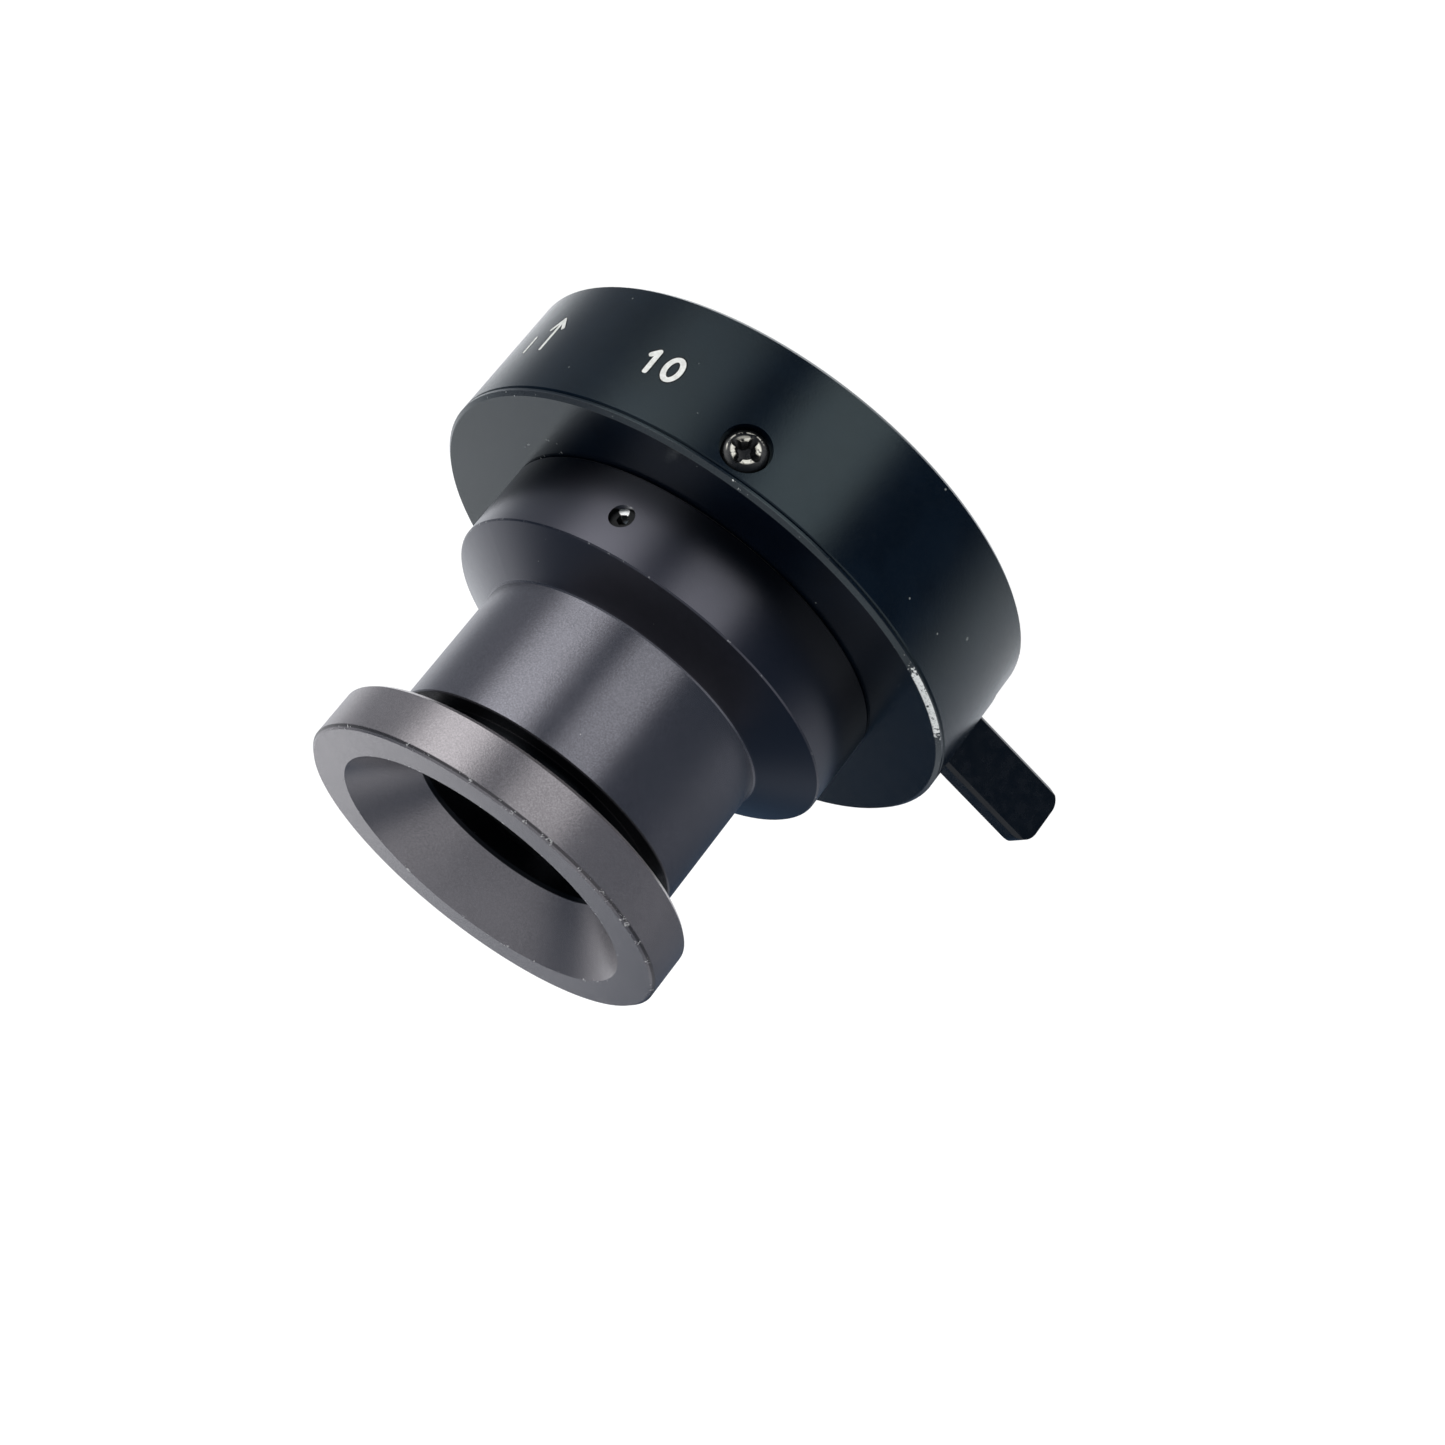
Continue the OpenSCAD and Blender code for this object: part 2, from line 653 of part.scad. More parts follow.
module jaw(index) {
    rotate([0, 0, jaw_angle + index * screw_step]) color([0.55, 0.55, 0.57]) difference() {
        intersection() {
            translate([open_r - 2, -jaw_w / 2, z_housing + run_clear]) cube([jaw_out_r, jaw_w, jaw_t]);
            ring(open_r, jaw_out_r, z_housing, z_channel);
        }
        translate([0, 0, z_housing + run_clear + jaw_t / 2])
            cylinder(r1 = open_r, r2 = open_r + jaw_t / 2, h = jaw_t / 2 + eps);
        translate([pin_r, 0, z_housing])
            cylinder(d = pin_d + fit_clear, h = pin_grip, $fn = small_fn);
    }
}

module jaw_pin(index) {
    z0 = z_ring + part_gap / 2;
    color([0.7, 0.7, 0.72]) at_angle(jaw_angle + index * screw_step, pin_r, z0)
        cylinder(d = pin_d, h = z_housing + pin_grip - fit_clear - z0, $fn = small_fn);
}

eyecup();
barrel();
clamp_housing();
drum_sleeve();
rear_cover();
thrust_washer();
sleeve_screws();
cover_screws();
set_screws();
stem_seal();
eye_lens();
lens_spacer();
crown_lens();
flint_lens();
lens_retainer();
light_baffle();
field_lens();
field_lens_retainer();
window();
window_seal();
window_retainer();
cam_ring();
clamp_lever();
lever_stud();
jaw(0);  // jaw_1
jaw(1);  // jaw_2
jaw(2);  // jaw_3
jaw_pin(0);  // jaw_pin_1
jaw_pin(1);  // jaw_pin_2
jaw_pin(2);  // jaw_pin_3
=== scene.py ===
import json
import math

import bmesh
import bpy
from mathutils import Matrix, Vector


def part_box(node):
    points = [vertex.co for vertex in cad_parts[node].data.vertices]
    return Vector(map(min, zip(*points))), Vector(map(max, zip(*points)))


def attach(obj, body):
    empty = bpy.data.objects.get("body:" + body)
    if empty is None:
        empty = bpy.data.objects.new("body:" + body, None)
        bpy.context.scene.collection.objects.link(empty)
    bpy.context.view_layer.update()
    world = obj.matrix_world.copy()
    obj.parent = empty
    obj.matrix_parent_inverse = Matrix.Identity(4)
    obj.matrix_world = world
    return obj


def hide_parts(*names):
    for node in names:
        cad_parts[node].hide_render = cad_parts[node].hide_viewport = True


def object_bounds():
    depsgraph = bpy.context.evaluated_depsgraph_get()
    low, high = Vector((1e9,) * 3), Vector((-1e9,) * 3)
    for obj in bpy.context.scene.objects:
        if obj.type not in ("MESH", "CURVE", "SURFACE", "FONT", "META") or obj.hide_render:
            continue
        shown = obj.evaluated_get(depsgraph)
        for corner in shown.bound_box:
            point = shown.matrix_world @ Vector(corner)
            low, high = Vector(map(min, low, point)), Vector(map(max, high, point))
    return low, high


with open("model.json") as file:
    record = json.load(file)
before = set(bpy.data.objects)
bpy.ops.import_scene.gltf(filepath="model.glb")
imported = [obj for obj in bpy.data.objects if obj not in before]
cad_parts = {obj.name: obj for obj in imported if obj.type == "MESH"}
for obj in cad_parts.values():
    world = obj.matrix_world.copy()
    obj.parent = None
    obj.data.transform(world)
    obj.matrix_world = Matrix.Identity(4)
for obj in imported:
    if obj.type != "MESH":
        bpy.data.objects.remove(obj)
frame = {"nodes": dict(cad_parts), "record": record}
cad_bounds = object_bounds()
nodes = frame["nodes"]

MM = 0.001
PER_MM = 1 / MM
TINY = 1e-6

# Places on the object, in millimetres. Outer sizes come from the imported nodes, the others are
# part.scad's own.
DRUM_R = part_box("drum_sleeve")[1].x * PER_MM
BARREL_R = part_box("barrel")[1].x * PER_MM
BARREL_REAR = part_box("barrel")[0].z * PER_MM
BARREL_GAP = 0.1
BARREL_WIDE_LEN = 6.8
BARREL_CONE_LEN = 2.2
DRUM_FRONT = BARREL_REAR - BARREL_GAP
DRUM_CHAMFER = 0.3
STEP_Z = BARREL_REAR + BARREL_WIDE_LEN
NECK_Z = STEP_Z + BARREL_CONE_LEN
NECK_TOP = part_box("barrel")[1].z * PER_MM
FLANGE_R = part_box("eyecup")[1].x * PER_MM
FRONT_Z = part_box("eyecup")[1].z * PER_MM
FLANGE_LEN = 4.35
FLANGE_REAR = FRONT_Z - FLANGE_LEN
RIM_WIDTH = 3.22
MOUTH_R = FLANGE_R - RIM_WIDTH
SIGHT_R = 8.625
SCREW_Z = (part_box("sleeve_screws")[0].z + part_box("sleeve_screws")[1].z) / 2 * PER_MM
SCREW_ANGLES = [-61.3, 58.7, 178.7]
SET_SCREW_AZIMUTH = -42.6
SET_SCREW_Z = 15.6


# ---------------------------------------------------------------- camera and surroundings

CAMERA_AZIMUTH = math.radians(20.9)
CAMERA_ELEVATION = math.radians(21.616)
CAMERA_ROLL = math.radians(-142.1)
CAMERA_DISTANCE = 250 * MM
CAMERA_AIM = Vector((-9.9, 4.7, 14.4)) * MM
CAMERA_LENS = 77.286
CAMERA_SENSOR = 36
CAMERA_CLIP = (0.01, 50)


def make_camera():
    """The photograph's viewpoint, rolled as the photograph is."""
    sin_a, cos_a = math.sin(CAMERA_AZIMUTH), math.cos(CAMERA_AZIMUTH)
    sin_e, cos_e = math.sin(CAMERA_ELEVATION), math.cos(CAMERA_ELEVATION)
    sin_r, cos_r = math.sin(CAMERA_ROLL), math.cos(CAMERA_ROLL)
    back = Vector((sin_a * cos_e, -cos_a * cos_e, sin_e))
    level_right = Vector((cos_a, sin_a, 0))
    level_up = back.cross(level_right)
    right = level_right * cos_r + level_up * sin_r
    up = level_up * cos_r - level_right * sin_r
    data = bpy.data.cameras.new("camera")
    data.lens = CAMERA_LENS
    data.sensor_width = CAMERA_SENSOR
    data.clip_start, data.clip_end = CAMERA_CLIP
    camera = bpy.data.objects.new("camera", data)
    bpy.context.scene.collection.objects.link(camera)
    turn = Matrix((right, up, back)).transposed().to_4x4()
    camera.matrix_world = Matrix.Translation(CAMERA_AIM + back * CAMERA_DISTANCE) @ turn
    bpy.context.scene.camera = camera


def new_object(name, mesh):
    made = bpy.data.objects.new(name, mesh)
    bpy.context.scene.collection.objects.link(made)
    return made


def spin_mesh(name, profile, segments):
    """A surface of revolution round Z from (radius, height) points, in metres."""
    mesh = bpy.data.meshes.new(name)
    bm = bmesh.new()
    rings = []
    for r, z in profile:
        if r < TINY:
            rings.append([bm.verts.new((0, 0, z))] * segments)
            continue
        turns = [2 * math.pi * i / segments for i in range(segments)]
        rings.append([bm.verts.new((r * math.cos(t), r * math.sin(t), z)) for t in turns])
    for low, high in zip(rings, rings[1:]):
        for i in range(segments):
            j = (i + 1) % segments
            corners = dict.fromkeys((low[i], low[j], high[j], high[i]))
            bm.faces.new(list(corners))
    bmesh.ops.recalc_face_normals(bm, faces=bm.faces)
    bm.to_mesh(mesh)
    bm.free()
    mesh.shade_smooth()
    return mesh


# The floor is in metres
FLOOR_RADIUS = 4.0
FLOOR_SWEEP = 1.5
WALL_HEIGHT = 4.0
FLOOR_GAP = 0.05 * MM
FLOOR_STEPS = 8
FLOOR_SEGMENTS = 96
FLOOR_GREY = (0.12, 0.12, 0.12, 1)
FLOOR_GLOW = 0.98


def make_surroundings():
    """A pale floor that sweeps up into a wall all round. Glossy rays pass through it to the lights."""
    floor_z = cad_bounds[0].z - FLOOR_GAP
    sweep = [
        (FLOOR_RADIUS - FLOOR_SWEEP * (1 - math.sin(t)), floor_z + FLOOR_SWEEP * (1 - math.cos(t)))
        for t in [math.pi / 2 * i / FLOOR_STEPS for i in range(FLOOR_STEPS + 1)]
    ]
    profile = [(0, floor_z), *sweep, (FLOOR_RADIUS, floor_z + WALL_HEIGHT)]
    floor = new_object("floor", spin_mesh("floor", profile, FLOOR_SEGMENTS))
    floor.visible_glossy = False
    floor.visible_shadow = False
    g = Graph("pale_floor")
    paint = g.principled(Roughness=0.9)
    paint.inputs["Base Color"].default_value = FLOOR_GREY
    paint.inputs["Emission Color"].default_value = (1, 1, 1, 1)
    paint.inputs["Emission Strength"].default_value = FLOOR_GLOW
    floor.data.materials.append(g.material)


# What the glossy surfaces mirror: a dim, slightly blue room with soft lights in it. Each light
# gives its azimuths and its elevations as (gone, full, full, gone), in degrees, and its strength.
ROOM_TINT = (0.036, 0.062, 0.105)
ROOM_LIGHTS = {
    "key_window": ((-44, -24, -8, 20), (-34, -12, 20, 32), 3.4),
    "low_window": ((-99, -88, -64, -50), (-91, -90, -23, -5), 1.7),
    "left_fill": ((0, 28, 68, 90), (-91, -90, -12, 4), 0.32),
    "pale_side": ((45, 86, 104, 109), (-91, -90, 27, 50), 0.97),
    "pale_table": ((60, 120, 180, 222), (-91, -90, -27, -21.5), 1.2),
    "pale_rear": ((98, 106, 111, 115), (-4, 6, 14, 19), 1.0),
    "far_wall": ((130, 150, 210, 240), (-14, 2, 14, 38), 0.55),
    "back_fill": ((-175, -160, -120, -100), (-8, 4, 40, 70), 0.8),
    "ceiling": ((-170, -130, 20, 70), (38, 56, 90, 91), 0.42),
}


def make_world():
    """The room of ROOM_LIGHTS, as a background that depends only on direction."""
    world = bpy.data.worlds.new("room")
    world.use_nodes = True
    bpy.context.scene.world = world
    g = Graph(world)
    direction = g.add("ShaderNodeTexCoord").outputs["Generated"]
    elevation = g.times(g.math("ARCSINE", g.axis(direction, "Z")), TO_DEGREES)
    total = 0.0
    for azimuths, elevations, strength in ROOM_LIGHTS.values():
        middle = (azimuths[1] + azimuths[2]) / 2
        turned = g.angle_from(direction, middle)
        sideways = g.window(turned, [azimuth - middle for azimuth in azimuths])
        upright = g.window(elevation, elevations)
        total = g.plus(total, g.times(sideways, upright, strength))
    lights = g.add("ShaderNodeBackground", {"Strength": total})
    room = g.add("ShaderNodeBackground", {"Color": (*ROOM_TINT, 1), "Strength": 1.0})
    both = g.add("ShaderNodeAddShader", {0: lights.outputs[0], 1: room.outputs[0]})
    g.add("ShaderNodeOutputWorld", {"Surface": both.outputs[0]})


# ---------------------------------------------------------------- materials

TO_DEGREES = 180 / math.pi
NEARLY_RADIAL = math.cos(math.radians(5.7))
CORNER_STARTS, CORNER_FULL = 0.995, 0.9


class Graph:
    """A material's node tree, with one short call for each kind of node. Lengths are in millimetres."""

    def __init__(self, owner):
        """owner is the name of a new material, or a world that already exists."""
        self.material = bpy.data.materials.new(owner) if isinstance(owner, str) else owner
        self.material.use_nodes = True
        self.tree = self.material.node_tree
        self.tree.nodes.clear()
        self.place = self.vector("SCALE", self.add("ShaderNodeTexCoord").outputs["Object"], PER_MM)

    def add(self, kind, inputs=None, **settings):
        node = self.tree.nodes.new(kind)
        for key, value in settings.items():
            setattr(node, key, value)
        for key, value in (inputs or {}).items():
            self.feed(node.inputs[key], value)
        return node

    def feed(self, socket, value):
        if isinstance(value, bpy.types.NodeSocket):
            self.tree.links.new(value, socket)
        else:
            socket.default_value = value

    def math(self, operation, a, b=0.0):
        return self.add("ShaderNodeMath", {0: a, 1: b}, operation=operation).outputs[0]

    def times(self, total, *factors):
        for factor in factors:
            total = self.math("MULTIPLY", total, factor)
        return total

    def plus(self, total, *terms):
        for term in terms:
            total = self.math("ADD", total, term)
        return total

    def minus(self, a, b):
        return self.math("SUBTRACT", a, b)

    def most(self, total, *masks):
        for mask in masks:
            total = self.math("MAXIMUM", total, mask)
        return total

    def vector(self, operation, a, b=(0, 0, 0)):
        second = {"Scale": b} if operation == "SCALE" else {1: b}
        node = self.add("ShaderNodeVectorMath", {0: a, **second}, operation=operation)
        return node.outputs["Value" if operation in ("DOT_PRODUCT", "LENGTH") else "Vector"]

    def axis(self, vector, name):
        return self.add("ShaderNodeSeparateXYZ", {0: vector}).outputs[name]

    def smooth(self, value, low, high, to_low=0.0, to_high=1.0):
        return self.add("ShaderNodeMapRange", {
            "Value": value, "From Min": low, "From Max": high, "To Min": to_low, "To Max": to_high,
        }, interpolation_type="SMOOTHSTEP").outputs["Result"]

    def window(self, value, stops):
        """1 between the two middle stops, falling to 0 at the first and the last."""
        return self.times(self.smooth(value, stops[0], stops[1]), self.smooth(value, stops[3], stops[2]))

    def angle_from(self, vector, azimuth):
        """How many degrees a direction lies round the axis from an azimuth, from -180 to 180."""
        t = math.radians(azimuth)
        ahead = self.vector("DOT_PRODUCT", vector, (math.cos(t), math.sin(t), 0))
        aside = self.vector("DOT_PRODUCT", vector, (-math.sin(t), math.cos(t), 0))
        return self.times(self.math("ARCTAN2", aside, ahead), TO_DEGREES)

    def noise(self, per_mm, detail=3.0, roughness=0.5, place=None):
        return self.add("ShaderNodeTexNoise", {
            "Vector": self.place if place is None else place, "Scale": per_mm,
            "Detail": detail, "Roughness": roughness,
        }).outputs["Fac"]

    def mix(self, share, a, b):
        """Colours a and b, mixed. Each is a socket or a (red, green, blue) tuple."""
        node = self.add("ShaderNodeMix", {0: share}, data_type="RGBA")
        for index, colour in ((6, a), (7, b)):
            self.feed(node.inputs[index], (*colour, 1) if isinstance(colour, tuple) else colour)
        return node.outputs[2]

    def radius(self):
        return self.vector("LENGTH", self.vector("MULTIPLY", self.place, (1, 1, 0)))

    def near_circle(self, radius, height, reach, soft=0.5):
        """1 on a circle round the axis, falling to 0 at reach millimetres from it."""
        across = self.minus(self.radius(), radius)
        along = self.minus(self.axis(self.place, "Z"), height)
        distance = self.math("SQRT", self.plus(self.times(across, across), self.times(along, along)))
        return self.smooth(distance, reach, reach * soft)

    def arc(self, azimuth, full, gone):
        """1 within full degrees of an azimuth round the axis, falling to 0 at gone degrees."""
        return self.window(self.angle_from(self.place, azimuth), (-gone, -full, full, gone))

    def specks(self, per_mm, size, share):
        """Small round specks in a share of the cells of a grid of scattered points."""
        cells = self.add("ShaderNodeTexVoronoi", {"Vector": self.place, "Scale": per_mm})
        chosen = self.math("LESS_THAN", self.axis(cells.outputs["Color"], "X"), share)
        core = 0.4
        dot = self.smooth(cells.outputs["Distance"], size * per_mm, size * per_mm * core)
        return self.times(dot, chosen)

    def bump(self, height, depth_mm, normal=None):
        inputs = {"Height": height, "Strength": 1.0, "Distance": depth_mm * MM}
        if normal is not None:
            inputs["Normal"] = normal
        return self.add("ShaderNodeBump", inputs).outputs["Normal"]

    def round_normal(self):
        """The surface's normal, made exactly radial on walls round the axis. The mesh's own has a seam."""
        own = self.add("ShaderNodeTexCoord").outputs["Normal"]
        outward = self.vector("NORMALIZE", self.vector("MULTIPLY", self.place, (1, 1, 0)))
        level = self.vector("MULTIPLY", own, (1, 1, 0))
        length = self.vector("LENGTH", level)
        along = self.vector("DOT_PRODUCT", own, outward)
        reach = self.times(length, self.math("SIGN", along))
        change = self.vector("SUBTRACT", self.vector("SCALE", outward, reach), level)
        limit = self.times(length, NEARLY_RADIAL)
        is_wall = self.math("GREATER_THAN", self.math("ABSOLUTE", along), limit)
        made = self.vector("ADD", own, self.vector("SCALE", change, is_wall))
        return self.add("ShaderNodeVectorTransform", {"Vector": made}, vector_type="NORMAL",
                        convert_from="OBJECT", convert_to="WORLD").outputs[0]

    def soft_edges(self, radius_mm):
        return self.add("ShaderNodeBevel", {"Radius": radius_mm * MM}, samples=4).outputs["Normal"]

    def corner_wear(self, radius_mm):
        """1 at the corners of the shape, 0 on its faces."""
        rounded = self.soft_edges(radius_mm)
        true = self.add("ShaderNodeNewGeometry").outputs["Normal"]
        return self.smooth(self.vector("DOT_PRODUCT", rounded, true), CORNER_STARTS, CORNER_FULL)

    def principled(self, **values):
        shader = self.add("ShaderNodeBsdfPrincipled", {k.replace("_", " "): v for k, v in values.items()})
        output = self.add("ShaderNodeOutputMaterial")
        self.tree.links.new(shader.outputs[0], output.inputs["Surface"])
        return shader


def shade(colour, factor):
    return tuple(factor * c for c in colour)


EYECUP_DYE = (0.258, 0.240, 0.247)
BARREL_DYE = (0.160, 0.157, 0.174)
SEALED_DYE_AND_SHADE = (0.084, 0.082, 0.100)
SEALED_DEEP_SHADE = (0.026, 0.027, 0.037)
HOLLOW_SHADE = (0.0012, 0.002, 0.0035)
BARE_EDGE = (0.80, 0.79, 0.77)


def hollow_shade(g):
    """1 on the wall of the sight hole and in the groove under the flange, which get painted shade."""
    height = g.axis(g.place, "Z")
    bore = g.smooth(g.radius(), SIGHT_R + 0.12, SIGHT_R + 0.06)
    under_flange = g.smooth(height, FLANGE_REAR + 0.04, FLANGE_REAR - 0.02)
    above_neck = g.smooth(height, NECK_TOP - 0.1, NECK_TOP + 0.05)
    inside = g.smooth(g.radius(), FLANGE_R - 0.5, FLANGE_R - 1.5)
    return g.most(g.times(under_flange, above_neck, inside), bore)


def chipped_edges_and_highlight(g):
    """1 where the dye is off the edges of the flange and the barrel, and on a painted highlight line along
    the barrel's rear edge.
    """
    edges = g.most(
        g.near_circle(FLANGE_R - 0.12, FRONT_Z - 0.12, reach=0.3),
        g.near_circle(FLANGE_R, FLANGE_REAR, reach=0.2),
        g.near_circle(MOUTH_R, FRONT_Z, reach=0.16),
        g.times(g.near_circle(BARREL_R, STEP_Z, reach=0.14), 0.8),
    )
    ragged = g.noise(per_mm=1.5, detail=5.0, roughness=0.72)
    chips = g.times(edges, g.smooth(ragged, 0.58, 0.68))
    # A thin painted highlight along the barrel's rear edge.
    rear_highlight = g.times(g.near_circle(BARREL_R, BARREL_REAR, reach=0.13), 0.3)
    return g.most(chips, rear_highlight)


def bronze_grey_anodise(name, dye, metal, rough):
    """Blasted aluminium, dyed a violet grey. Below the neck it has a clear coat and is darker: partly a
    darker dye, partly painted shade that deepens towards the drum.
    """
    g = Graph(name)
    grain = g.noise(per_mm=7, detail=2.5, roughness=0.6)
    fine = g.noise(per_mm=22, detail=2.0)
    cloud = g.noise(per_mm=0.22, detail=3.0, roughness=0.55)
    rub = g.noise(per_mm=1.4, detail=4.0, roughness=0.65)
    height_z = g.axis(g.place, "Z")
    below_neck = g.smooth(height_z, NECK_Z + 0.1, NECK_Z - 0.1)
    shade_towards_drum = g.smooth(height_z, STEP_Z, BARREL_REAR)
    rim_shadow_line = g.near_circle(FLANGE_R - 0.08, FRONT_Z - 0.24, reach=0.16)
    worn = chipped_edges_and_highlight(g)
    pits = g.specks(per_mm=0.35, size=0.16, share=0.3)
    dust = g.specks(per_mm=0.9, size=0.05, share=0.22)

    colour = g.mix(g.smooth(cloud, 0.35, 0.65), shade(dye, 0.9), dye)
    colour = g.mix(g.smooth(grain, 0.3, 0.8), colour, shade(dye, 1.25))
    # Below the neck: darker dye and painted shade from the drum, deepest next to it.
    colour = g.mix(below_neck, colour, g.mix(shade_towards_drum, SEALED_DYE_AND_SHADE, SEALED_DEEP_SHADE))
    # Painted shade in the sight hole and in the groove under the flange.
    colour = g.mix(hollow_shade(g), colour, HOLLOW_SHADE)
    # A painted shadow line along the flange's front outer chamfer.
    colour = g.mix(g.times(rim_shadow_line, 0.75), colour, shade(dye, 0.2))
    # Bare chips, and the painted highlight on the barrel's rear edge.
    colour = g.mix(worn, colour, BARE_EDGE)
    colour = g.mix(g.times(pits, 0.35), colour, shade(dye, 0.5))
    colour = g.mix(g.times(dust, 0.5), colour, BARE_EDGE)

    matt = g.plus(rough, g.times(rub, 0.08), g.times(worn, 0.08), g.times(below_neck, 0.07))
    solid = g.minus(g.plus(metal, g.times(below_neck, 1 - metal)), g.times(worn, 0.5))
    height = g.minus(g.plus(g.times(grain, 0.7), g.times(fine, 0.3)), g.times(worn, 1.6))
    shader = g.principled(Base_Color=colour, Metallic=solid, Roughness=matt,
                          Normal=g.bump(height, depth_mm=0.008, normal=g.round_normal()))
    g.feed(shader.inputs["Coat Weight"], g.times(below_neck, 0.75))
    shader.inputs["Coat Roughness"].default_value = 0.26
    return g.material


DRUM_BLACK = (0.0004, 0.0014, 0.0038)
DRUM_BLUE = (0.0010, 0.0028, 0.0064)
DRUM_MOTTLE = (0.005, 0.007, 0.010)
DRUM_RIM_GREY = (0.05, 0.055, 0.06)
DRUM_DUST = (0.25, 0.27, 0.26)
DRUM_BARE = (0.92, 0.93, 0.90)
DRUM_SHEEN = (0.78, 0.98, 1.0, 1)
KNOCK_AZIMUTH = -123
RESIDUE_AZIMUTH = -5


def black_anodise():
    """Fine satin black, with bare metal where the drum's edges have been knocked."""
    g = Graph("black_anodise")
    grain = g.noise(per_mm=9, detail=2.5, roughness=0.6)
    cloud = g.noise(per_mm=0.18, detail=3.0, roughness=0.55)
    ragged = g.noise(per_mm=2.4, detail=4.0, roughness=0.7)
    rub = g.noise(per_mm=0.8, detail=4.0, roughness=0.6)
    mottle = g.noise(per_mm=7, detail=2.0)
    rim = g.near_circle(DRUM_R - DRUM_CHAMFER / 2, DRUM_FRONT - DRUM_CHAMFER / 2, reach=0.3, soft=0.7)
    rear = g.near_circle(DRUM_R, 0, reach=0.22)
    knock = g.arc(KNOCK_AZIMUTH, full=7, gone=13)
    chance = g.plus(ragged, g.times(knock, 0.3))
    worn = g.most(g.times(rim, g.smooth(chance, 0.66, 0.73)),
                  g.times(rear, g.smooth(ragged, 0.66, 0.74)))
    dust = g.specks(per_mm=0.55, size=0.12, share=0.32)
    lint = g.specks(per_mm=0.25, size=0.2, share=0.25)
    residue = g.times(g.near_circle(BARREL_R + 0.7, DRUM_FRONT, reach=1.3),
                      g.arc(RESIDUE_AZIMUTH, full=5, gone=10))
    crumbs = g.times(g.specks(per_mm=2.2, size=0.13, share=0.6), residue)
    bits = g.most(g.times(dust, 0.75), g.times(lint, 0.4), crumbs)

    colour = g.mix(g.smooth(cloud, 0.35, 0.65), DRUM_BLACK, DRUM_BLUE)
    # Paler grey along the drum's front chamfer.
    colour = g.mix(g.times(rim, 0.5), colour, DRUM_RIM_GREY)
    colour = g.mix(bits, colour, DRUM_DUST)
    colour = g.mix(worn, colour, DRUM_BARE)
    colour = g.mix(g.smooth(mottle, 0.45, 0.75, to_high=0.4), colour, DRUM_MOTTLE)

    matt = g.plus(0.155, g.times(rub, 0.08), g.times(worn, 0.1))
    height = g.minus(grain, g.times(worn, 0.6))
    shader = g.principled(Base_Color=colour, Metallic=g.times(worn, 0.3), Roughness=matt,
                          Normal=g.bump(height, depth_mm=0.009, normal=g.round_normal()))
    shader.inputs["Specular Tint"].default_value = DRUM_SHEEN
    return g.material


INNER_BLACK = (0.0006, 0.0007, 0.0009)
INNER_DRY = (0.0018, 0.0019, 0.0022)
INNER_RUBBED = (0.03, 0.03, 0.03)
TURNING_LINES = 26


def matt_black_anodise():
    """Deep matt black for the rings inside, faintly turned."""
    g = Graph("matt_black_anodise")
    grain = g.noise(per_mm=10, detail=2.0)
    ripple = g.math("SINE", g.times(g.axis(g.place, "Z"), TURNING_LINES))
    worn = g.times(g.corner_wear(0.06), g.smooth(g.noise(per_mm=3, detail=3), 0.55, 0.7))
    colour = g.mix(worn, g.mix(grain, INNER_BLACK, INNER_DRY), INNER_RUBBED)
    height = g.plus(grain, g.times(ripple, 0.3))
    shader = g.principled(Base_Color=colour, Roughness=g.smooth(grain, 0, 1, 0.6, 0.8),
                          Normal=g.bump(height, depth_mm=0.006))
    shader.inputs["Specular IOR Level"].default_value = 0.1
    return g.material


LACQUER = (0.0010, 0.0020, 0.0036)
LACQUER_RUBBED = (0.0018, 0.003, 0.005)
LACQUER_EDGE_HIGHLIGHT = (0.05, 0.055, 0.06)
LACQUER_BARE = (0.5, 0.5, 0.48)


def lever_black():
    """Smooth satin black lacquer, paler along the lever's edges as a painted highlight, with bare chips on
    them.
    """
    g = Graph("lever_black")
    grain = g.noise(per_mm=10, detail=2.0)
    rub = g.noise(per_mm=0.9, detail=3.0)
    ragged = g.noise(per_mm=2.2, detail=4.0, roughness=0.7)
    edge = g.corner_wear(0.09)
    worn = g.times(edge, g.smooth(ragged, 0.66, 0.74))
    colour = g.mix(g.smooth(rub, 0.4, 0.7), LACQUER, LACQUER_RUBBED)
    # A painted highlight along the lever's edges.
    colour = g.mix(g.times(edge, 0.3), colour, LACQUER_EDGE_HIGHLIGHT)
    colour = g.mix(worn, colour, LACQUER_BARE)
    g.principled(Base_Color=colour, Metallic=worn, Roughness=g.smooth(rub, 0.3, 0.7, 0.2, 0.3),
                 Normal=g.bump(grain, depth_mm=0.004, normal=g.soft_edges(0.08)))
    return g.material


OXIDE = (0.02, 0.021, 0.022)
OXIDE_BROWN = (0.05, 0.05, 0.048)
OXIDE_BARE = (0.5, 0.49, 0.45)


def blackened_steel():
    """Oiled black oxide, bright on the driven edges."""
    g = Graph("blackened_steel")
    grain = g.noise(per_mm=14, detail=2.5)
    blotch = g.noise(per_mm=1.8, detail=3.0)
    worn = g.times(g.corner_wear(0.07), g.smooth(g.noise(per_mm=4, detail=3.0), 0.42, 0.58))
    colour = g.mix(worn, g.mix(blotch, OXIDE, OXIDE_BROWN), OXIDE_BARE)
    g.principled(Base_Color=colour, Metallic=0.9, Roughness=g.smooth(blotch, 0.3, 0.7, 0.2, 0.34),
                 Normal=g.bump(grain, depth_mm=0.004, normal=g.soft_edges(0.05)))
    return g.material


